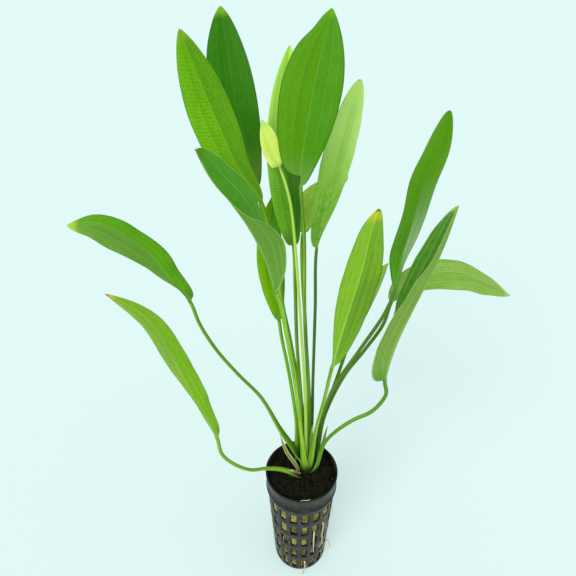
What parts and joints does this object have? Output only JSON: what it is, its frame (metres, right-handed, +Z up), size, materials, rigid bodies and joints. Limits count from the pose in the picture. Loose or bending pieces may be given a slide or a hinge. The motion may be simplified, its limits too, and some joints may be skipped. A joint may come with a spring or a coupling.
{
  "type": "potted sword plant",
  "caption": "Aquarium sword plant: lance-shaped leaves on long stalks from a short rootstock, in a tall net pot with a slotted wall, filled with rock wool and topped with soil.",
  "frame": {"origin": "centre of the underside of the pot's floor, on the surface it stands on", "axes": "+Z up along the pot's axis, +X to the viewer's right, -Y towards the viewer"},
  "size_m": [0.2362, 0.1407, 0.3511],
  "materials": {
    "pot_plastic": "satin black-grey moulded plastic",
    "rock_wool": "matte fibrous mineral wool",
    "soil": "matte dark fibrous peat",
    "rootstock": "matte fibrous brown",
    "leaf": "satin green leaf with paler veins",
    "young_leaf": "satin yellow-green leaf",
    "withered_sheath": "dry straw-coloured leaf sheath",
    "root": "cream root skin"
  },
  "bodies": {
    "root": {"net_pot": "pot_plastic", "rock_wool_plug": "rock_wool", "top_soil": "soil", "rootstock": "rootstock", "leaf_upper_left": "leaf", "leaf_front_twisted": "leaf", "leaf_back_left": "leaf", "leaf_centre_broad": "leaf", "leaf_centre_back": "leaf", "leaf_young": "young_leaf", "leaf_centre_right": "leaf", "leaf_back_short": "leaf", "leaf_left_inner": "leaf", "leaf_front_right": "leaf", "leaf_right_tall": "leaf", "leaf_right_folded": "leaf", "leaf_far_right": "leaf", "leaf_right_inner": "leaf", "leaf_far_left": "leaf", "leaf_low_left": "leaf", "sheath_left": "withered_sheath", "sheath_centre": "withered_sheath", "sheath_right": "withered_sheath", "root_front": "root", "root_right": "root", "root_side": "root", "root_low": "root"}
  },
  "joints": []
}
